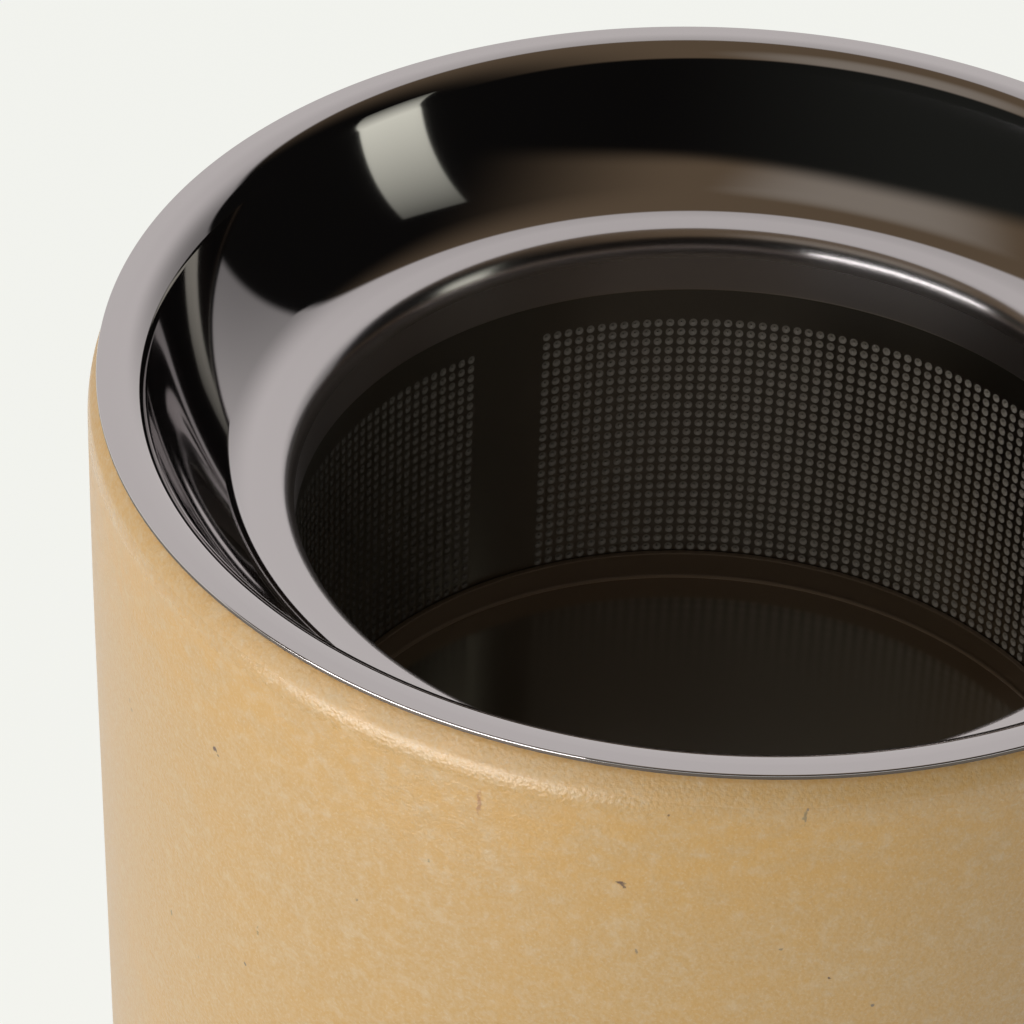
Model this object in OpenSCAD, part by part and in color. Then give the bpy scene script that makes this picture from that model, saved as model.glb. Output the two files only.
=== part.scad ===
// Tea mug with a lift-out steel infuser.
// Origin: centre of the foot ring, on the surface that the mug stands on. +Z is up.

/* [Mug] */
// Height of the ceramic rim above the table
mug_h = 89.5; // [70:0.5:120]
// Outer diameter just under the shoulder
mug_d = 89.3; // [86:0.1:110]
// How much narrower the wall is at its foot, on the diameter
mug_taper = 1.7; // [0:0.1:6]
// Thickness of the ceramic wall at the rim
mug_wall = 3.65; // [3:0.05:6]
// Thickness of the mug's floor
mug_floor_t = 5; // [3:0.5:10]
// Radius of the outer shoulder, where the wall starts to turn in
shoulder_r = 5; // [4:0.5:7]
// How far the wall turns in on that radius, in degrees
shoulder_turn = 30; // [25:1:35]
// Smaller radius that ends the shoulder on top of the rim
shoulder_top_r = 1; // [0.8:0.1:1.2]
// Width of the flat land on top of the rim
rim_land = 0.1; // [0.1:0.1:0.4]
// Radius where the wall turns under, outside
base_r = 6; // [2:0.5:12]
// Radius where the wall meets the floor, inside
well_r = 9; // [3:0.5:14]
// Outer diameter of the unglazed foot ring
foot_d = 74; // [50:1:76]
// Width of the foot ring
foot_w = 3.5; // [2:0.5:8]
// Height of the foot ring
foot_h = 2; // [1:0.5:4]
// Rounding of the foot ring's lower edges
foot_edge_r = 0.8; // [0.2:0.1:0.8]

/* [Collar] */
// Thickness of the pressed sheet
collar_t = 0.5; // [0.4:0.05:0.8]
// How far the flange's edge stays inside the mug's outer wall
flange_inset = 0.65; // [0.4:0.05:0.9]
// Depth of the dish below the flange, down to where its lower fillet would run out level
dish_depth = 10; // [8:0.5:14]
// Slope of the dish wall below the flange's bend, in degrees
dish_angle = 64; // [60:1:70]
// Slope of the dish wall where it runs into the lower fillet, in degrees
dish_low_angle = 43; // [38:1:50]
// Radius of the lower fillet
dish_fillet_r = 4.85; // [3:0.05:7]
// Slope of the narrow step between that fillet and the lip, in degrees
step_angle = 8; // [4:1:12]
// Width of that step, measured along it
step_w = 1.05; // [0.5:0.05:2]
// Radius of the lip that turns down into the neck, on the top face
lip_r = 1.4; // [0.7:0.1:2]
// Length of the straight neck below the lip
neck_len = 3.65; // [2:0.05:8]

/* [Basket] */
// Thickness of the perforated sheet
wall_t = 0.4; // [0.3:0.05:0.6]
// Length of the sheet tube
wall_len = 31.25; // [15:0.05:40]
// Length of the tube that is lapped over the neck
wall_lap = 3; // [1:0.5:4]
// Thickness of the floor plate
floor_t = 0.5; // [0.4:0.05:0.8]
// Radius of the pressed corner of the floor plate, inside
floor_fillet_r = 1.75; // [1:0.25:4]
// Height of the straight rim above that corner
floor_rim_h = 0.5; // [0.5:0.05:3]

/* [Perforation] */
// Diameter of one hole
hole_d = 1.7; // [0.4:0.1:1.8]
// Distance between rows
hole_pitch = 2.7; // [2:0.1:6]
// Plain height above the first row and below the last, as a least value
plain_margin = 3; // [1:0.25:6]
// Width of the plain strip with the weld, between hole centres
seam_w = 6.8; // [4:0.2:16]
// Direction of the weld strip around the axis, in degrees
seam_angle = 120.4; // [0:0.1:360]

/* [Fits] */
// Gap between the flange's bend and the rounded inside of the mug's rim
rim_gap = 0.3; // [0.2:0.05:0.5]
// Gap between welded sheet cylinders, on the radius
weld_gap = 0.05; // [0.02:0.01:0.1]

/* [Hidden] */
cut = 0.5;
// How far strips of one sheet run into each other, so that they join
seam_lap = 0.01;
lap_angle = 0.2;
round_fn = 160;
hole_fn = 16;

// Mug
mug_r = mug_d / 2;
mug_base_r = mug_r - mug_taper / 2;
mouth_r = mug_r - mug_wall;
well_z = foot_h + mug_floor_t;
foot_r = foot_d / 2;

// Rim: the shoulder ends in a small crest, and a wider round leads from its land into the mouth
crest_run = shoulder_r - shoulder_top_r;
crest_x = mug_r - shoulder_r + crest_run * cos(shoulder_turn);
crest_z = mug_h - shoulder_top_r;
shoulder_z = crest_z - crest_run * sin(shoulder_turn);
rim_x = crest_x - rim_land;
rim_inner_r = rim_x - mouth_r;
rim_z = mug_h - rim_inner_r;

// Collar, with radii on its visible top face. Its bend goes round the inside of the rim.
flange_top_z = mug_h + collar_t;
flange_r = mug_r - flange_inset;
flange_bend_r = rim_inner_r + rim_gap + collar_t;
flange_w = flange_r - rim_x;
bend_z = flange_top_z - flange_bend_r;
step_z = flange_top_z - dish_depth;

// Dish: a wide arc from the bend to the lower fillet takes up the depth that those two leave
bend_drop = flange_bend_r * (1 - cos(dish_angle));
fillet_drop = dish_fillet_r * (1 - cos(dish_low_angle));
dish_r = (dish_depth - bend_drop - fillet_drop) / (cos(dish_low_angle) - cos(dish_angle));
dish_x = rim_x - (flange_bend_r + dish_r) * sin(dish_angle);
dish_z = bend_z + (flange_bend_r + dish_r) * cos(dish_angle);
fillet_x = dish_x + (dish_r - dish_fillet_r) * sin(dish_low_angle);

// Step, lip and neck
fillet_z = step_z + dish_fillet_r;
step_out = (dish_fillet_r + lip_r) * [sin(step_angle), -cos(step_angle)];
step_way = [-cos(step_angle), -sin(step_angle)];
lip_centre = [fillet_x, fillet_z] + step_out + step_w * step_way;
neck_in_r = lip_centre[0] - lip_r;
neck_out_r = neck_in_r + collar_t;
neck_end_z = lip_centre[1] - neck_len;

// Basket
wall_in_r = neck_out_r + weld_gap;
wall_out_r = wall_in_r + wall_t;
wall_top_z = neck_end_z + wall_lap;
wall_end_z = wall_top_z - wall_len;
plate_r = wall_in_r - weld_gap;
plate_in_r = plate_r - floor_t;
floor_z = wall_end_z + floor_t;
plate_rim_z = floor_z + floor_fillet_r + floor_rim_h;

// Perforation
hole_r = hole_d / 2;
first_row_z = neck_end_z - plain_margin;
last_row_limit = plate_rim_z + hole_r;
rows = floor((first_row_z - last_row_limit) / hole_pitch) + 1;
seam_half = seam_w / 2 / wall_in_r * 180 / PI;
hole_arc = 360 - 2 * seam_half;
columns = round(hole_arc * PI / 180 * wall_in_r / hole_pitch) + 1;
column_step = hole_arc / (columns - 1);

// A slice of a disc, from angle a to angle b
module slice(centre, r, a, b) {
    reach = r / cos((b - a) / 2) + cut;
    translate(centre)
        intersection() {
            circle(r = r, $fn = round_fn);
            polygon([[0, 0], reach * [cos(a), sin(a)], reach * [cos(b), sin(b)]]);
        }
}

// A strip of sheet along an arc: centre, inside and outside radius, from angle a to angle b
module arc_strip(centre, r_in, r_out, a, b) {
    difference() {
        slice(centre, r_out, a, b);
        translate(centre) circle(r = r_in, $fn = round_fn);
    }
}

// Half section of the ceramic cup with its rounded rim, turned-under base and foot ring
module mug_section() {
    difference() {
        union() {
            polygon([
                [0, foot_h],
                [mug_base_r - base_r, foot_h],
                [mug_base_r, foot_h + base_r],
                [mug_r, shoulder_z],
                [crest_x, crest_z] + shoulder_top_r * [cos(shoulder_turn), sin(shoulder_turn)],
                [crest_x, crest_z],
                [crest_x, mug_h],
                [rim_x, mug_h],
                [rim_x, rim_z],
                [0, rim_z]
            ]);
            slice([mug_r - shoulder_r, shoulder_z], shoulder_r, 0, shoulder_turn);
            slice([crest_x, crest_z], shoulder_top_r, shoulder_turn, 90);
            slice([rim_x, rim_z], rim_inner_r, 90, 180);
            translate([mug_base_r - base_r, foot_h + base_r]) circle(r = base_r, $fn = round_fn);
            foot_section();
        }
        mug_hollow_section();
    }
}

// Half section of the foot ring, with two rounded lower edges
module foot_section() {
    translate([foot_r - foot_w, foot_edge_r]) square([foot_w, foot_h + cut - foot_edge_r]);
    translate([foot_r - foot_w + foot_edge_r, 0]) square([foot_w - 2 * foot_edge_r, foot_h + cut]);
    translate([foot_r - foot_w + foot_edge_r, foot_edge_r]) circle(r = foot_edge_r, $fn = round_fn);
    translate([foot_r - foot_edge_r, foot_edge_r]) circle(r = foot_edge_r, $fn = round_fn);
}

// Half section of the hollow, with a rounded corner at its floor
module mug_hollow_section() {
    difference() {
        translate([0, well_z]) square([mouth_r, rim_z - well_z]);
        difference() {
            translate([mouth_r - well_r, well_z]) square(well_r);
            translate([mouth_r - well_r, well_z + well_r]) circle(r = well_r, $fn = round_fn);
        }
    }
    translate([0, rim_z - cut]) square([mouth_r, rim_inner_r + 2 * cut]);
}

// Half section of the pressed collar
module collar_section() {
    upper = 90 + dish_angle;
    lower = 270 + dish_low_angle;
    // Flange with its rounded edge
    translate([rim_x - seam_lap, mug_h]) square([flange_w - collar_t / 2 + seam_lap, collar_t]);
    translate([flange_r - collar_t / 2, mug_h + collar_t / 2]) circle(d = collar_t, $fn = round_fn);
    // Bend, dish and fillet
    arc_strip([rim_x, bend_z], flange_bend_r - collar_t, flange_bend_r, 90, upper + lap_angle);
    arc_strip([dish_x, dish_z], dish_r, dish_r + collar_t, lower, 180 + upper);
    arc_strip([fillet_x, fillet_z], dish_fillet_r, dish_fillet_r + collar_t, 270 + step_angle, lower + lap_angle);
    // Step, lip and neck
    translate(lip_centre)
        rotate(step_angle)
            translate([-seam_lap, lip_r - collar_t])
                square([step_w + 2 * seam_lap, collar_t]);
    arc_strip(lip_centre, lip_r - collar_t, lip_r, 90 + step_angle, 180);
    translate([neck_in_r, neck_end_z]) square([collar_t, neck_len + seam_lap]);
}

// Half section of the pressed floor plate
module floor_section() {
    corner = [plate_in_r - floor_fillet_r, floor_z + floor_fillet_r];
    translate([0, wall_end_z]) square([corner[0] + seam_lap, floor_t]);
    arc_strip(corner, floor_fillet_r, floor_fillet_r + floor_t, 270, 360);
    translate([plate_in_r, corner[1] - seam_lap]) square([floor_t, floor_rim_h + seam_lap]);
}

// The grid of round holes, clear of the plain strip along the weld
module perforations() {
    for (row = [0 : rows - 1])
        for (column = [0 : columns - 1])
            translate([0, 0, first_row_z - row * hole_pitch])
                rotate([0, 90, seam_angle + seam_half + column * column_step])
                    translate([0, 0, wall_in_r - cut])
                        cylinder(r = hole_r, h = wall_t + 2 * cut, $fn = hole_fn);
}

module mug_body() {
    color([0.93, 0.80, 0.62])
        rotate_extrude($fn = round_fn)
            mug_section();
}

module infuser_collar() {
    color([0.78, 0.77, 0.77])
        rotate_extrude($fn = round_fn)
            collar_section();
}

module infuser_wall() {
    color([0.55, 0.55, 0.54])
        difference() {
            rotate_extrude($fn = round_fn)
                translate([wall_in_r, wall_end_z])
                    square([wall_t, wall_len]);
            perforations();
        }
}

module infuser_floor() {
    color([0.66, 0.65, 0.64])
        rotate_extrude($fn = round_fn)
            floor_section();
}

mug_body();
infuser_collar();
infuser_wall();
infuser_floor();
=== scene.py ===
import math

import bpy
import numpy as np
from mathutils import Matrix, Vector


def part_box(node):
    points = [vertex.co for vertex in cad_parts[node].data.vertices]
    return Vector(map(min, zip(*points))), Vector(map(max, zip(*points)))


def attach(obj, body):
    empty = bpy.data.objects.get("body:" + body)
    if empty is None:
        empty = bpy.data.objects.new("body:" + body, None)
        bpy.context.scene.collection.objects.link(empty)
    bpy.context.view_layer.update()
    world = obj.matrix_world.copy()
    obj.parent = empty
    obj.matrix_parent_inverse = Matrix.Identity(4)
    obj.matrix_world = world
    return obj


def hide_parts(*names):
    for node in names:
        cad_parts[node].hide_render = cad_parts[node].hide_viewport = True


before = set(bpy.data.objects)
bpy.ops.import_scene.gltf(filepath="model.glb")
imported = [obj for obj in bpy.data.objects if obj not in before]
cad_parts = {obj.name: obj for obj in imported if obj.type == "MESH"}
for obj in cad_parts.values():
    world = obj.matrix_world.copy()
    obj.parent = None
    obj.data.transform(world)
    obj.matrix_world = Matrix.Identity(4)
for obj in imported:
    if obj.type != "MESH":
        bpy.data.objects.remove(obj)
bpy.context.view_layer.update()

mm = 0.001

# Camera.
# A long lens stands in front of the mug, a little to its left, and looks down into it from above.
# It is placed from the centre of the flange's top face.
flange_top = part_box("infuser_collar")[1].z
camera_from_flange = Vector((-14.87, -273.32, 195.95)) * mm
camera_tilt = math.radians(37.505)
camera_roll = math.radians(2.095)
camera_angle = math.radians(12.071)

camera = bpy.data.objects.new("camera", bpy.data.cameras.new("camera"))
camera.data.sensor_width = 36
camera.data.lens = camera.data.sensor_width / 2 / math.tan(camera_angle / 2)
camera.data.clip_start = 0.01
camera.data.clip_end = 20
camera.location = camera_from_flange + Vector((0, 0, flange_top))
camera.rotation_euler = (
    Matrix.Rotation(math.pi / 2 - camera_tilt, 3, "X") @ Matrix.Rotation(camera_roll, 3, "Z")
).to_euler()
bpy.context.scene.collection.objects.link(camera)
bpy.context.scene.camera = camera

# Stoneware mug.
# The real cup is slip-cast stoneware, 3.65 mm thick, dipped in a satin ochre glaze that breaks to
# orange under the rim and carries a few iron specks. Its foot ring is wiped bare before firing.
mug_r = 44.65 * mm
mug_h = flange_top - 0.4 * mm
mouth_r = 41 * mm
rim_inner_r = 2 * mm
shoulder_r = 5 * mm
shoulder_top_r = 1 * mm
shoulder_turn = math.radians(30)
wall_bow_r = 1370 * mm
wall_turn = math.radians(0.71)
straight_wall = 5 * mm
base_r = 6 * mm
well_r = 9 * mm
foot_h = 2 * mm
foot_out = 37 * mm
foot_in = 33.5 * mm
foot_edge = 0.8 * mm
well_z = 7 * mm


def arc(r, z, radius, start, end, steps, side=1):
    """Points (r, z, nr, nz) on the arc r + radius cos a, z + radius sin a. The normal is radial, times side."""
    a = np.radians(np.linspace(start, end, steps + 1))
    away = np.stack([np.cos(a), np.sin(a)], 1)
    return np.hstack([np.array([r, z]) + radius * away, side * away])


def line(start, end, steps):
    """Points evenly spaced from start to end, with the normal 90 degrees right of the way they run."""
    start, end = np.array(start, float), np.array(end, float)
    way = (end - start) / np.linalg.norm(end - start)
    t = np.linspace(0, 1, steps + 1)[:, None]
    normal = np.tile([way[1], -way[0]], (steps + 1, 1))
    return np.hstack([start + t * (end - start), normal])


def turned(name, profile, turns, axis_ends=False):
    """A surface of revolution: (r cos a, r sin a, z) for each profile point and each of turns angles a.
    The profile is a loop, or runs from axis to axis when axis_ends is set. Its own normals are kept. A point
    that only repeats the one before it, where two parts of the profile run smoothly on, is left out."""
    profile = np.vstack(profile)
    moves = np.abs(profile - np.roll(profile, 1, axis=0)) > (0.01 * mm, 0.01 * mm, 0.02, 0.02)
    profile = profile[moves.any(1)]
    a = np.linspace(0, 2 * np.pi, turns, endpoint=False)[:, None]
    r, z, nr, nz = profile.T
    points = np.stack([r * np.cos(a), r * np.sin(a), z + 0 * a], 2).reshape(-1, 3)
    normals = np.stack([nr * np.cos(a), nr * np.sin(a), nz + 0 * a], 2).reshape(-1, 3)
    n = len(profile)
    i = np.arange(turns)[:, None]
    j = np.arange(n - 1 if axis_ends else n)[None, :]
    near, far = i * n, (i + 1) % turns * n
    up = (j + 1) % n
    quads = np.stack([near + j, far + j, far + up, near + up], 2).reshape(-1, 4)
    mesh = bpy.data.meshes.new(name)
    mesh.from_pydata(points.tolist(), [], quads.tolist())
    mesh.polygons.foreach_set("use_smooth", np.ones(len(quads), bool))
    mesh.normals_split_custom_set_from_vertices(normals.tolist())
    mesh.validate(clean_customdata=False)
    piece = bpy.data.objects.new(name, mesh)
    bpy.context.scene.collection.objects.link(piece)
    return piece


pole = 1e-5
shoulder_z = mug_h - (shoulder_r - shoulder_top_r) * math.sin(shoulder_turn) - shoulder_top_r
crest_r = mug_r - shoulder_r + (shoulder_r - shoulder_top_r) * math.cos(shoulder_turn)
bow_z = shoulder_z - straight_wall
bow_low = (mug_r - wall_bow_r * (1 - math.cos(wall_turn)), bow_z - wall_bow_r * math.sin(wall_turn))
base_z = foot_h + base_r
mug_base_r = bow_low[0] - (bow_low[1] - base_z) * math.tan(wall_turn)
turn, bow = math.degrees(shoulder_turn), math.degrees(wall_turn)
mug = turned("stoneware_mug", [
    line((pole, foot_h), (foot_in, foot_h), 12),
    arc(foot_in + foot_edge, foot_edge, foot_edge, 180, 270, 6),
    arc(foot_out - foot_edge, foot_edge, foot_edge, 270, 360, 6),
    line((foot_out, foot_edge), (foot_out, foot_h), 2),
    line((foot_out, foot_h), (mug_base_r - base_r, foot_h), 2),
    arc(mug_base_r - base_r, base_z, base_r, 270, 360, 16),
    line((mug_base_r, base_z), bow_low, 24),
    arc(mug_r - wall_bow_r, bow_z, wall_bow_r, -bow, 0, 10),
    line((mug_r, bow_z), (mug_r, shoulder_z), 3),
    arc(mug_r - shoulder_r, shoulder_z, shoulder_r, 0, turn, 16),
    arc(crest_r, mug_h - shoulder_top_r, shoulder_top_r, turn, 90, 10),
    arc(mouth_r + rim_inner_r, mug_h - rim_inner_r, rim_inner_r, 90, 180, 12),
    line((mouth_r, mug_h - rim_inner_r), (mouth_r, well_z + well_r), 24),
    arc(mouth_r - well_r, well_z + well_r, well_r, 360, 270, 16, -1),
    line((mouth_r - well_r, well_z), (pole, well_z), 12),
], 288, axis_ends=True)


def feed(tree, node, inputs):
    """Sets a node's inputs by name or number. Each takes a value, or the output of the node that drives it."""
    for name, value in inputs.items():
        if isinstance(value, bpy.types.NodeSocket):
            tree.links.new(value, node.inputs[name])
        else:
            node.inputs[name].default_value = value


def add(tree, kind, inputs, **settings):
    """A new node of a kind, with its settings, and its inputs as feed takes them."""
    node = tree.nodes.new("ShaderNode" + kind)
    for name, setting in settings.items():
        setattr(node, name, setting)
    feed(tree, node, inputs)
    return node


def new_finish(name):
    """A new material, with its node tree and its shader."""
    material = bpy.data.materials.new(name)
    material.use_nodes = True
    return material, material.node_tree, material.node_tree.nodes["Principled BSDF"]


def ramp(tree, value, low, high, bottom=0.0, top=1.0, ease="SMOOTHSTEP"):
    """Value taken from bottom to top as it goes from low to high."""
    limits = {"Value": value, "From Min": low, "From Max": high, "To Min": bottom, "To Max": top}
    return add(tree, "MapRange", limits, interpolation_type=ease).outputs["Result"]


def times(tree, *values):
    """The product of numbers and outputs."""
    result = values[0]
    for value in values[1:]:
        result = add(tree, "Math", {0: result, 1: value}, operation="MULTIPLY").outputs[0]
    return result


def blend(tree, amount, under, over):
    """Colour over laid on colour under by amount."""
    return add(tree, "Mix", {"Factor": amount, "A": under, "B": over}, data_type="RGBA").outputs["Result"]


def noise(tree, place, scale, detail=2.0, stretch=1.0):
    """Noise of scale waves per metre. Detail adds finer waves, and stretch draws them out along Z."""
    mapping = add(tree, "Mapping", {"Vector": place, "Scale": (1, 1, 1 / stretch)})
    return add(tree, "TexNoise", {"Vector": mapping.outputs[0], "Scale": scale, "Detail": detail}).outputs["Fac"]


def glaze():
    """Satin ochre glaze: orange under the rim, pale flecks, dark iron specks, bare clay on the foot."""
    warm = (0.70, 0.412, 0.132, 1)
    light = (0.72, 0.474, 0.21, 1)
    orange = (0.76, 0.42, 0.095, 1)
    pale = (0.80, 0.65, 0.43, 1)
    clay = (0.55, 0.43, 0.32, 1)
    material, tree, shader = new_finish("ochre_glaze")
    place = add(tree, "TexCoord", {}).outputs["Object"]
    z = add(tree, "SeparateXYZ", {0: place}).outputs["Z"]

    # Mottling: two ochres, orange clouds, more orange in a band under the rim, pale flecks in two sizes
    colour = blend(tree, ramp(tree, noise(tree, place, 3000, 6), 0.30, 0.70), warm, light)
    clouds = ramp(tree, noise(tree, place, 260, 6, 0.8), 0.40, 0.66)
    cloudy_parts = ramp(tree, noise(tree, place, 55, 3), 0.36, 0.62, 0.1, 0.7)
    colour = blend(tree, times(tree, clouds, cloudy_parts, 0.4), colour, orange)
    band_low = ramp(tree, z, mug_h - 16 * mm, mug_h - 5 * mm)
    band_high = ramp(tree, z, mug_h - 1.5 * mm, mug_h - 4 * mm)
    band_clouds = ramp(tree, noise(tree, place, 420, 7, 0.7), 0.34, 0.60, 0.15, 1.0)
    colour = blend(tree, times(tree, band_low, band_high, band_clouds, 0.6), colour, orange)
    colour = blend(tree, times(tree, ramp(tree, noise(tree, place, 900, 8), 0.46, 0.80), 0.38), colour, pale)
    colour = blend(tree, times(tree, ramp(tree, noise(tree, place, 5200, 3), 0.50, 0.76), 0.35), colour, pale)

    # Specks: ragged spots. The shift moves each place by up to 0.25 mm each way, which frays their outlines
    fray = 0.25 * mm
    ragged = add(tree, "TexNoise", {"Vector": place, "Scale": 2600}).outputs["Color"]
    shift = add(tree, "VectorMath", {0: ragged, 1: (2 * fray,) * 3, 2: (-fray,) * 3}, operation="MULTIPLY_ADD")
    moved = add(tree, "VectorMath", {0: place, 1: shift.outputs[0]}).outputs[0]
    iron = (0.10, 0.035, 0.022, 1)
    moss = (0.16, 0.15, 0.09, 1)
    slate = (0.16, 0.13, 0.12, 1)
    rust = (0.40, 0.15, 0.06, 1)
    speck_r = mug_r - 0.05 * mm
    # Angle in degrees, distance below the rim, width and height in mm, strength and tint
    for angle, below, width, height, strength, tint in (
        (205.1, 17.2, 0.30, 0.40, 0.45, slate), (204.6, 16.6, 0.25, 0.35, 0.35, slate),
        (220.4, 11.9, 0.42, 0.42, 0.95, iron), (220.9, 12.2, 0.30, 0.25, 0.70, iron),
        (226.8, 1.2, 0.25, 0.60, 0.65, moss), (208.9, 28.6, 0.25, 0.60, 0.50, slate),
        (212.6, 31.2, 0.30, 0.85, 0.60, moss), (217.2, 32.6, 0.25, 0.40, 0.35, slate),
        (226.0, 25.2, 0.28, 0.85, 0.65, moss), (224.2, 29.2, 0.30, 0.32, 0.80, slate),
        (248.6, 4.8, 0.34, 2.30, 0.60, rust), (264.5, 2.9, 0.22, 0.22, 0.75, iron),
        (275.3, 2.5, 0.22, 1.20, 0.60, moss), (275.5, 1.9, 0.30, 0.30, 0.75, slate),
        (260.8, 8.9, 0.62, 0.26, 0.90, iron), (261.0, 9.1, 0.26, 0.45, 0.85, iron),
        (262.4, 14.5, 0.28, 0.40, 0.60, slate), (274.3, 13.6, 0.25, 0.18, 0.55, iron),
        (278.6, 16.3, 0.26, 0.24, 0.95, iron), (282.5, 19.1, 0.28, 0.36, 0.85, slate),
        (237.3, 17.1, 0.24, 0.30, 0.50, slate), (244.2, 11.0, 0.22, 0.24, 0.45, moss),
        (310, 22, 0.35, 0.50, 0.80, iron), (331, 9, 0.30, 0.80, 0.60, moss), (2, 31, 0.40, 0.35, 0.85, iron),
        (27, 14, 0.25, 0.40, 0.60, slate), (49, 46, 0.30, 0.30, 0.80, iron), (75, 21, 0.45, 0.30, 0.85, iron),
        (98, 60, 0.28, 0.90, 0.60, moss), (121, 11, 0.26, 0.30, 0.70, slate), (150, 38, 0.40, 0.45, 0.90, iron),
        (178, 55, 0.25, 0.60, 0.60, moss), (238, 52, 0.35, 0.35, 0.85, iron), (262, 66, 0.28, 0.50, 0.60, slate),
        (294, 44, 0.30, 0.80, 0.60, moss),
    ):
        angle = math.radians(angle)
        middle = (speck_r * math.cos(angle), speck_r * math.sin(angle), mug_h - below * mm)
        away = add(tree, "VectorMath", {0: moved, 1: middle}, operation="SUBTRACT").outputs[0]
        stretch = (2 / width / mm, 2 / width / mm, 2 / height / mm)
        scaled = add(tree, "VectorMath", {0: away, 1: stretch}, operation="MULTIPLY").outputs[0]
        distance = add(tree, "VectorMath", {0: scaled}, operation="LENGTH").outputs["Value"]
        colour = blend(tree, ramp(tree, distance, 1.3, 0.5, 0.0, strength), colour, tint)

    # Gloss: highest on the shoulder, dull where the glaze thins under the flange
    gloss = ramp(tree, noise(tree, place, 900, 3), 0.3, 0.7, 0.31, 0.39)
    shoulder = ramp(tree, z, mug_h - 4 * mm, mug_h - 2.6 * mm, 1.0, 0.7)
    thin_rim = ramp(tree, z, mug_h - 1.95 * mm, mug_h - 1.45 * mm, 1.0, 2.4)
    orange_peel = {"Height": noise(tree, place, 3600, 4), "Distance": 0.06 * mm, "Strength": 0.8}
    feed(tree, shader, {
        "Base Color": blend(tree, ramp(tree, z, 1.6 * mm, 1.1 * mm), colour, clay),
        "Roughness": times(tree, gloss, shoulder, thin_rim),
        "Specular IOR Level": 0.8,
        "Sheen Weight": 0.25,
        "Sheen Roughness": 0.3,
        "Sheen Tint": (0.86, 0.88, 1.0, 1),
        "Normal": add(tree, "Bump", orange_peel).outputs[0],
    })
    return material


mug.data.materials.append(glaze())
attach(mug, "mug")
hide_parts("mug_body")

# Infuser collar.
# One round of stainless sheet, pressed into a flange, a concave dish, a narrow sloping step, a lip and a
# neck, then polished to a mirror. The flange rests on the rim of the mug and nothing holds it down.
collar_low, collar_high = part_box("infuser_collar")
sheet = 0.4 * mm
flange_r = collar_high.x
bend_x = 43 * mm
bend_r = 2.8 * mm
dish_depth = 10 * mm
dish_high = math.radians(64)
dish_low = math.radians(43)
fillet_r = 4.85 * mm
step_slope = math.radians(8)
step_run = 1.05 * mm
lip = 1.4 * mm

bend_z = flange_top - bend_r
step_z = flange_top - dish_depth
drop = bend_r * (1 - math.cos(dish_high)) + fillet_r * (1 - math.cos(dish_low))
dish_r = (dish_depth - drop) / (math.cos(dish_low) - math.cos(dish_high))
dish_x = bend_x - (bend_r + dish_r) * math.sin(dish_high)
dish_z = bend_z + (bend_r + dish_r) * math.cos(dish_high)
fillet_x = dish_x + (dish_r - fillet_r) * math.sin(dish_low)
lip_x = fillet_x + (fillet_r + lip) * math.sin(step_slope) - step_run * math.cos(step_slope)
lip_z = step_z + fillet_r - (fillet_r + lip) * math.cos(step_slope) - step_run * math.sin(step_slope)
neck_in = lip_x - lip
neck_low = collar_low.z
edge = sheet / 2
burr = 0.10 * mm
high, low, slope = math.degrees(dish_high), math.degrees(dish_low), math.degrees(step_slope)


def bead(steps):
    """The top of the lip: a quarter ellipse 1.3 times as tall as wide, from the step's slope to the neck."""
    tall = 1.3
    start = math.atan(math.tan(step_slope) / tall)
    wide = (lip_x - lip * math.sin(step_slope) - neck_in) / (1 - math.sin(start))
    top = lip_z + lip * math.cos(step_slope) - tall * wide * math.cos(start)
    t = np.linspace(start, np.pi / 2, steps + 1)
    away = np.stack([-tall * np.sin(t), np.cos(t)], 1)
    away /= np.linalg.norm(away, axis=1, keepdims=True)
    return np.hstack([np.stack([neck_in + wide - wide * np.sin(t), top + tall * wide * np.cos(t)], 1), away])


collar = turned("dish_collar", [
    arc(flange_r - burr, flange_top - sheet + burr, burr, -90, 0, 4),
    line((flange_r, flange_top - sheet + burr), (flange_r, flange_top - burr), 2),
    arc(flange_r - burr, flange_top - burr, burr, 0, 90, 14),
    line((flange_r - burr, flange_top), (bend_x, flange_top), 4),
    arc(bend_x, bend_z, bend_r, 90, 90 + high, 32),
    arc(dish_x, dish_z, dish_r, 270 + high, 270 + low, 40, -1),
    arc(fillet_x, step_z + fillet_r, fillet_r, 270 + low, 270 + slope, 36, -1),
    bead(28),
    line((neck_in, lip_z - 0.45 * mm), (neck_in, neck_low + edge), 6),
    arc(neck_in + edge, neck_low + edge, edge, 180, 360, 10),
    line((neck_in + sheet, neck_low + edge), (neck_in + sheet, lip_z), 4),
    arc(lip_x, lip_z, lip - sheet, 180, 90 + slope, 12, -1),
    arc(fillet_x, step_z + fillet_r, fillet_r + sheet, 270 + slope, 270 + low, 16),
    arc(dish_x, dish_z, dish_r + sheet, 270 + low, 270 + high, 16),
    arc(bend_x, bend_z, bend_r - sheet, 90 + high, 90, 14, -1),
    line((bend_x, flange_top - sheet), (flange_r - burr, flange_top - sheet), 3),
], 360)


def brushed_round(tree):
    """The way of the brush marks on a turned piece, which run round its axis."""
    return add(tree, "Tangent", {}, direction_type="RADIAL", axis="Z").outputs[0]


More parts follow.
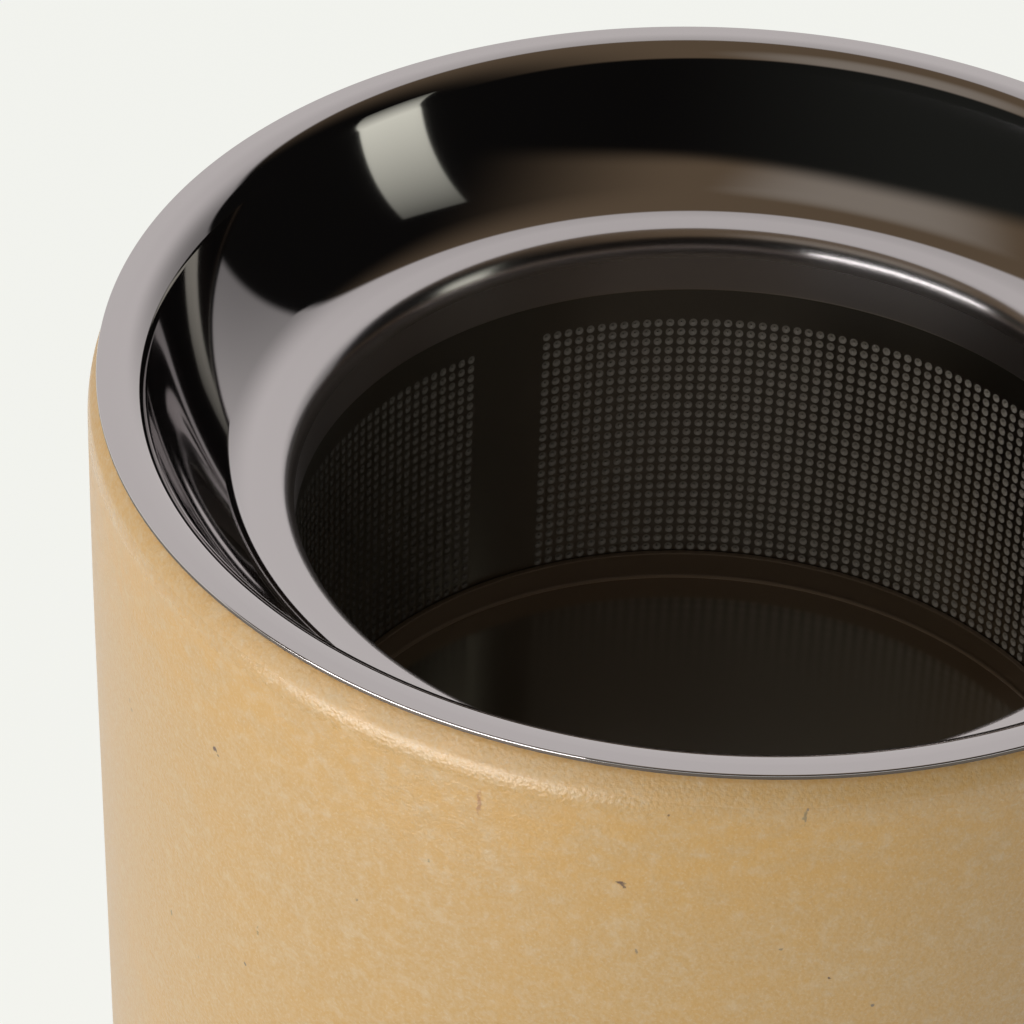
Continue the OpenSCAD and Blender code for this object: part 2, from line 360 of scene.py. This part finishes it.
def polished_steel():
    """Mirror-polished stainless steel with faint waves from the press. The lip and the neck are brushed, and the
    cut edge of the flange is raw and rough, with its dark colour painted as shade."""
    material, tree, shader = new_finish("polished_steel")
    place = add(tree, "TexCoord", {}).outputs["Object"]
    z = add(tree, "SeparateXYZ", {0: place}).outputs["Z"]
    level = add(tree, "VectorMath", {0: place, 1: (1, 1, 0)}, operation="MULTIPLY").outputs[0]
    from_axis = add(tree, "VectorMath", {0: level}, operation="LENGTH").outputs["Value"]
    brushed = ramp(tree, from_axis, lip_x + 0.2 * mm, lip_x - 0.6 * mm, 0.05, 0.21)
    neck = ramp(tree, z, lip_z + 0.1 * mm, lip_z - 0.7 * mm, 0, 0.07)
    below_burr = ramp(tree, z, flange_top - 0.80 * burr, flange_top - 0.95 * burr, ease="LINEAR")
    outermost = ramp(tree, from_axis, flange_r - 0.06 * mm, flange_r - 0.04 * mm, ease="LINEAR")
    cut_face = times(tree, below_burr, outermost)
    polished = add(tree, "Math", {0: neck, 1: brushed}, operation="ADD").outputs[0]
    roughness = add(tree, "Math", {0: cut_face, 1: 0.35, 2: polished}, operation="MULTIPLY_ADD").outputs[0]
    # 0 on the mirror finish, 0.8 on the brushed one
    drawn_out = add(tree, "Math", {0: brushed, 1: 5, 2: -0.25}, operation="MULTIPLY_ADD").outputs[0]
    waves = {"Height": noise(tree, place, 110, 1), "Distance": 0.03 * mm, "Strength": 0.25}
    # The cut face is rough, and its dark base colour below is painted shade
    feed(tree, shader, {
        "Base Color": blend(tree, cut_face, (0.63, 0.595, 0.60, 1), (0.12, 0.10, 0.085, 1)),
        "Metallic": 1,
        "Roughness": roughness,
        "Anisotropic": drawn_out,
        "Anisotropic Rotation": 0.25,
        "Tangent": brushed_round(tree),
        "Normal": add(tree, "Bump", waves).outputs[0],
    })
    return material


collar.data.materials.append(polished_steel())
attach(collar, "infuser")
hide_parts("infuser_collar")

# Perforated basket wall.
# Thin sheet with a square grid of fine etched holes, rolled into a tube and welded along a plain strip.
# It is made as four panels, each a quarter of the tube, and the weld strip lies in the last.
wall_low, wall_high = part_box("infuser_wall")
wall_t = 0.4 * mm
wall_in = neck_in + 0.55 * mm
hole_rows = 26
hole_columns = 211
row_pitch = 0.87 * mm
first_row = flange_top - 18.5 * mm
weld_angle = math.radians(120.4)
weld_between_holes = math.radians(12.22)
hole_lip = 0.34 * mm
hole_bore = 0.08 * mm
hole_back = 0.275 * mm
lip_drop = 0.08 * mm
hole_corners = 12
# Holes are drawn a little taller than wide: times the radius
hole_width, hole_height = 0.94, 1.06
# Painted shade: the dark inside of a hole, used on its outer lip and to darken the etched edges
hole_shade_colour = (0.02, 0.02, 0.017, 1)
panels = 4

column_step = (2 * math.pi - weld_between_holes) / (hole_columns - 1)
strip = weld_between_holes - column_step
grid_start = weld_angle + strip / 2
row_edges = first_row + row_pitch / 2 - row_pitch * np.arange(hole_rows + 1)
row_edges = np.concatenate([[wall_high.z], row_edges, [wall_low.z]])


def perforated_panel(name, angles, drilled):
    """A piece of tube whose cells lie between angles and row_edges. A drilled column has a hole in every row
    but the plain top and bottom ones. A hole is a 12-sided lip, a bore and a smaller lip on the back, painted
    dark as the hole's shade: the point at (a, z, depth) is ((wall_in + depth) cos a, (wall_in + depth) sin a,
    z)."""
    columns, rows = len(angles) - 1, len(row_edges) - 1
    a, z = np.meshgrid(angles, row_edges)
    flat = np.stack([a.ravel(), z.ravel()], 1)
    corner = np.arange(len(flat)).reshape(rows + 1, columns + 1)
    is_hole = np.zeros((rows, columns), bool)
    is_hole[1:-1] = drilled
    r, c = np.nonzero(is_hole)
    middle = np.stack([(angles[c] + angles[c + 1]) / 2, (row_edges[r] + row_edges[r + 1]) / 2], 1)
    turn = np.arange(hole_corners) * 2 * np.pi / hole_corners
    ring = np.stack([hole_width * np.cos(turn) / wall_in, hole_height * np.sin(turn)], 1)
    rings, depths, leans = [], [], []
    # Radius, depth in the sheet, and how far the normal leans into the hole
    for radius, depth, lean in (
        (hole_lip, 0, 0.1),
        (hole_bore, lip_drop, 0.35),
        (hole_bore, wall_t - lip_drop, 0.35),
        (hole_back, wall_t, 0.1),
    ):
        rings.append((middle[:, None] + radius * ring).reshape(-1, 2))
        depths.append(np.full(len(middle) * hole_corners, depth))
        leans.append(np.full(len(middle) * hole_corners, lean))
    plane = np.vstack([flat, flat] + rings)
    depth = np.concatenate([np.zeros(len(flat)), np.full(len(flat), wall_t)] + depths)
    reach = wall_in + depth
    points = np.stack([reach * np.cos(plane[:, 0]), reach * np.sin(plane[:, 0]), plane[:, 1]], 1)
    back, ring_at = len(flat), 2 * len(flat)
    size = len(middle) * hole_corners
    k = np.arange(hole_corners)
    hole = np.arange(len(middle))[:, None] * hole_corners
    here, after = ring_at + hole + k, ring_at + hole + (k + 1) % hole_corners
    # The corner of the cell that each side of the ring faces: upper right, upper left, lower left, lower right
    cell = np.stack([corner[r, c + 1], corner[r, c], corner[r + 1, c], corner[r + 1, c + 1]], 1)
    quarter = hole_corners // 4
    facing = cell[:, k // quarter]
    front = [np.stack([facing, after, here], 2).reshape(-1, 3)]
    axis = ring_at + hole + np.arange(4) * quarter
    before = cell[:, (np.arange(4) - 1) % 4]
    front.append(np.stack([cell, axis, before], 2).reshape(-1, 3))
    front = np.vstack(front)[:, ::-1]
    rear = np.where(front < back, front + back, front + 3 * size)[:, ::-1]
    wall = []
    for s in range(3):
        band = [here + s * size, here + (s + 1) * size, after + (s + 1) * size, after + s * size]
        wall.append(np.stack(band, 2).reshape(-1, 4))
    wall = np.vstack(wall)
    pr, pc = np.nonzero(~is_hole)
    plain = np.stack([corner[pr, pc], corner[pr, pc + 1], corner[pr + 1, pc + 1], corner[pr + 1, pc]], 1)
    sides = []
    for run in (corner[0, ::-1], corner[:, 0], corner[-1], corner[::-1, -1]):
        sides.append(np.stack([run[:-1], run[1:], run[1:] + back, run[:-1] + back], 1))
    quads = np.vstack([plain, (plain + back)[:, ::-1], wall] + sides)
    mesh = bpy.data.meshes.new(name)
    mesh.from_pydata(points.tolist(), [], front.tolist() + rear.tolist() + quads.tolist())
    # Finishes: 0 on the sheet, 1 on the inner lip and the bore of a hole, 2 on its outer lip, painted as the
    # hole's shade
    finish_of = np.zeros(len(mesh.polygons), np.int32)
    first_wall = len(front) + len(rear) + 2 * len(plain)
    finish_of[first_wall:first_wall + len(wall)] = np.repeat([1, 1, 2], len(wall) // 3)
    mesh.polygons.foreach_set("material_index", finish_of)
    # Normals: across the sheet, leaning into the hole on its lip and bore
    outward = np.where(depth < wall_t / 2, -1.0, 1.0)[:, None]
    radial = np.stack([np.cos(plane[:, 0]), np.sin(plane[:, 0]), 0 * plane[:, 0]], 1) * outward
    inward = np.zeros_like(points)
    centre = np.repeat(middle, hole_corners, 0)
    centre = np.stack([wall_in * np.cos(centre[:, 0]), wall_in * np.sin(centre[:, 0]), centre[:, 1]], 1)
    for s in range(4):
        part = slice(ring_at + s * size, ring_at + (s + 1) * size)
        inward[part] = centre - points[part]
    inward -= radial * (inward * radial).sum(1, keepdims=True)
    inward /= np.maximum(np.linalg.norm(inward, axis=1, keepdims=True), 1e-9)
    lean = np.concatenate([np.zeros(2 * len(flat))] + leans)[:, None]
    normals = radial * (1 - lean) + inward * lean
    normals /= np.linalg.norm(normals, axis=1, keepdims=True)
    corners = np.empty(len(mesh.loops), np.int32)
    mesh.loops.foreach_get("vertex_index", corners)
    smooth = np.ones(len(mesh.polygons), bool)
    smooth[len(smooth) - sum(len(side) for side in sides):] = False
    mesh.polygons.foreach_set("use_smooth", smooth)
    mesh.normals_split_custom_set(normals[corners].tolist())
    piece = bpy.data.objects.new(name, mesh)
    bpy.context.scene.collection.objects.link(piece)
    return piece


def rolled_steel():
    """Smooth rolled sheet, less bright than the dish, with faint rolling lines round the tube."""
    material, tree, shader = new_finish("rolled_steel")
    place = add(tree, "TexCoord", {}).outputs["Object"]
    rolling_lines = noise(tree, place, 300, 3, 1 / 14)
    feed(tree, shader, {
        "Base Color": (0.28, 0.268, 0.245, 1),
        "Metallic": 1,
        "Roughness": ramp(tree, rolling_lines, 0, 1, 0.26, 0.32, "LINEAR"),
        "Anisotropic": 0.7,
        "Anisotropic Rotation": 0.25,
        "Tangent": brushed_round(tree),
    })
    return material


def etched_edge():
    """The matt edge that etching leaves round each hole. Painted shade darkens its tone towards the floor and
    the
    -X side, by the place along the shade's direction."""
    shade_direction = (0.62, 0.56, 0.55)
    material, tree, shader = new_finish("etched_edge")
    place = add(tree, "TexCoord", {}).outputs["Object"]
    tone = blend(tree, noise(tree, place, 2500), (0.72, 0.69, 0.63, 1), (0.86, 0.83, 0.78, 1))
    # Painted shade: the tone goes towards the dark of the holes along a fixed direction
    side = add(tree, "VectorMath", {0: place, 1: shade_direction}, operation="DOT_PRODUCT").outputs["Value"]
    painted_shade = ramp(tree, side, 0.026, 0.062, 0.88, 0, "LINEAR")
    feed(tree, shader, {"Base Color": blend(tree, painted_shade, tone, hole_shade_colour), "Roughness": 0.6})
    return material


def painted_hole_shade():
    """Painted shade: the dark inside of the holes, seen from outside the tube, put on their outer lips."""
    material, tree, shader = new_finish("painted_hole_shade")
    feed(tree, shader, {"Base Color": hole_shade_colour, "Roughness": 0.6})
    return material


wall_finishes = rolled_steel(), etched_edge(), painted_hole_shade()
column_edges = grid_start + column_step * np.arange(hole_columns + 1)
cuts = np.linspace(0, hole_columns, panels + 1).astype(int)
for number, (first, last) in enumerate(zip(cuts[:-1], cuts[1:]), 1):
    angles = column_edges[first:last + 1]
    drilled = np.ones(len(angles) - 1, bool)
    if number == panels:
        strip_edges = grid_start - strip + strip * np.linspace(0, 1, 7)[1:] + 2 * math.pi
        angles = np.concatenate([angles, strip_edges])
        drilled = np.concatenate([drilled, np.zeros(len(strip_edges), bool)])
    panel = perforated_panel(f"basket_wall_{number}", angles, drilled)
    for finish in wall_finishes:
        panel.data.materials.append(finish)
    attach(panel, "infuser")
    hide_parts("infuser_wall")

# Basket floor.
# A plain round plate of polished sheet with a tight pressed corner and a turned-up rim, which is welded
# inside the end of the tube.
plate_low, plate_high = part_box("infuser_floor")
plate_t = 0.5 * mm
plate_corner = 0.3 * mm
plate_out = plate_high.x
plate_in = plate_out - plate_t
plate_z = plate_low.z + plate_t
plate_edge = 0.1 * mm
corner_r = plate_in - plate_corner
corner_z = plate_z + plate_corner

plate = turned("basket_floor", [
    line((pole, plate_low.z), (corner_r, plate_low.z), 10),
    arc(corner_r, corner_z, plate_corner + plate_t, 270, 360, 16),
    line((plate_out, corner_z), (plate_out, plate_high.z - plate_edge), 2),
    arc(plate_out - plate_edge, plate_high.z - plate_edge, plate_edge, 0, 90, 5),
    arc(plate_in + plate_edge, plate_high.z - plate_edge, plate_edge, 90, 180, 5),
    line((plate_in, plate_high.z - plate_edge), (plate_in, corner_z), 2),
    arc(corner_r, corner_z, plate_corner, 360, 270, 20, -1),
    line((corner_r, plate_z), (pole, plate_z), 24),
], 288, axis_ends=True)


def polished_floor():
    """Polished steel plate. Its welded rim is matt and a dull straw colour from the heat."""
    material, tree, shader = new_finish("polished_floor")
    place = add(tree, "TexCoord", {}).outputs["Object"]
    z = add(tree, "SeparateXYZ", {0: place}).outputs["Z"]
    rim = ramp(tree, z, plate_z + 0.002 * mm, plate_z + 0.03 * mm, ease="LINEAR")
    wear = ramp(tree, noise(tree, place, 90), 0, 1, 0.12, 0.22, "LINEAR")
    feed(tree, shader, {
        "Base Color": blend(tree, rim, (0.60, 0.56, 0.50, 1), (0.40, 0.33, 0.265, 1)),
        "Metallic": 1,
        "Roughness": add(tree, "Math", {0: rim, 1: 0.42, 2: wear}, operation="MULTIPLY_ADD").outputs[0],
    })
    return material


plate.data.materials.append(polished_floor())
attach(plate, "infuser")
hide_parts("infuser_floor")

# Studio.
# A pale table that glows a little, so that it stays even. A low white softbox stands on the left in front with
# a white card under it, a tall greenish one on the right and a soft one overhead. A light screen stands behind
# and reaches overhead, the ceiling is dim and warm, and the rest of the room is dark.
reach = 3.0
pale = (0.885, 0.895, 0.855, 1)
table_mesh = bpy.data.meshes.new("table")
table_corners = [(-reach, -reach, 0), (reach, -reach, 0), (reach, reach, 0), (-reach, reach, 0)]
table_mesh.from_pydata(table_corners, [], [(0, 1, 2, 3)])
table = bpy.data.objects.new("table", table_mesh)
bpy.context.scene.collection.objects.link(table)
paper, tree, shader = new_finish("pale_paper")
feed(tree, shader, {"Base Color": (0.80, 0.80, 0.78, 1), "Roughness": 0.9, "Specular IOR Level": 0})
# The glow is weaker where it lights the mug than where it is seen
lights_matt = add(tree, "LightPath", {}).outputs["Is Diffuse Ray"]
glow = add(tree, "Emission", {"Color": pale, "Strength": ramp(tree, lights_matt, 0, 1, 1.12, 0.50, "LINEAR")})
surface = add(tree, "MixShader", {"Fac": 0.85, 1: shader.outputs[0], 2: glow.outputs[0]})
feed(tree, tree.nodes["Material Output"], {"Surface": surface.outputs[0]})
table_mesh.materials.append(paper)


def softbox(name, centre, across, up, radiance, colour):
    """A flat rectangular light that faces the mug. Its centre and its half edges are in metres from the middle
    of the flange, and its power is its radiance times pi times its area."""
    centre, across, up = Vector(centre), Vector(across), Vector(up)
    facing = across.cross(up).normalized()
    if facing.dot(centre) < 0:
        facing.negate()
    turn = Matrix([across.normalized(), facing.cross(across).normalized(), facing]).transposed()
    light = bpy.data.lights.new(name, "AREA")
    light.shape = "RECTANGLE"
    light.size, light.size_y = 2 * across.length, 2 * up.length
    light.energy = radiance * math.pi * light.size * light.size_y
    light.color = colour
    lamp = bpy.data.objects.new(name, light)
    lamp.location = centre + Vector((0, 0, flange_top))
    lamp.rotation_euler = turn.to_euler()
    bpy.context.scene.collection.objects.link(lamp)
    return lamp


right_box = softbox(
    "right_box", (1.18, -0.379, 0.47), (-0.155, -0.103, 0.011), (0.06, -0.12, -0.55), 1.0, (0.97, 1.0, 0.86)
)
# The right softbox fades along its height
right_box.data.use_nodes = True
tree = right_box.data.node_tree
along_light = add(tree, "NewGeometry", {}).outputs["Parametric"]
down = add(tree, "SeparateXYZ", {0: along_light}).outputs["Y"]
feed(tree, tree.nodes["Emission"], {"Strength": ramp(tree, down, 0, 1, 0.10, 1.25, "LINEAR")})
white = (1.0, 0.99, 0.985)
softbox("left_box", (-0.745, -0.74, 0.08), (0.329, -0.331, 0), (0, 0, 0.19), 5.6, white)
low_card = softbox("low_card", (-0.183, -0.178, -0.068), (0.069, -0.072, 0), (0.050, 0.049, 0), 8.0, white)
low_card.visible_diffuse = False
top_box = softbox("top_box", (-0.28, -0.49, 1.06), (0.20, -0.10, 0), (0.09, 0.15, 0.10), 1.6, (1.0, 0.98, 0.95))
top_box.visible_glossy = False

world = bpy.data.worlds.new("studio")
bpy.context.scene.world = world
world.use_nodes = True
tree = world.node_tree
way = add(tree, "TexCoord", {}).outputs["Generated"]


def along(direction):
    """How far the way of a ray runs along a direction."""
    return add(tree, "VectorMath", {0: way, 1: direction}, operation="DOT_PRODUCT").outputs["Value"]


right = along((1, 0, 0))
up = along((0, 0, 1))
dark_left, dark_right = (0.0155, 0.0165, 0.0145, 1), (0.0045, 0.0042, 0.0040, 1)
room = blend(tree, ramp(tree, right, -0.7, 0.3), dark_left, dark_right)
ceiling, ceiling_patch = (0.132, 0.097, 0.062, 1), (0.27, 0.24, 0.20, 1)
brown = blend(tree, ramp(tree, along((-0.347, -0.360, 0.866)), 0.900, 1.0), ceiling, ceiling_patch)
ceiling_edge = times(
    tree,
    ramp(tree, along((0, 0.788, 0.615)), -0.08, 0.05),
    ramp(tree, along((0.285, 0.755, 0.590)), -0.07, 0.05),
    ramp(tree, right, 0.75, 0.10),
)
screen_light = times(tree, ramp(tree, right, 1.05, 0.30, 0.2, 1.0), ramp(tree, up, 1.05, 0.55, 0.72, 1.0))
screen = blend(tree, screen_light, (0, 0, 0, 1), (0.685, 0.665, 0.655, 1))
screen_edge = times(
    tree,
    ramp(tree, along((-0.122, 0.766, -0.322)), -0.02, 0.035),
    ramp(tree, along((-0.415, 0.910, 0)), -0.01, 0.025),
)
seen = blend(tree, screen_edge, blend(tree, ceiling_edge, room, brown), screen)
straight = add(tree, "LightPath", {}).outputs["Is Camera Ray"]
feed(tree, tree.nodes["Background"], {"Color": blend(tree, straight, seen, pale)})

bpy.context.scene.view_settings.view_transform = "Standard"
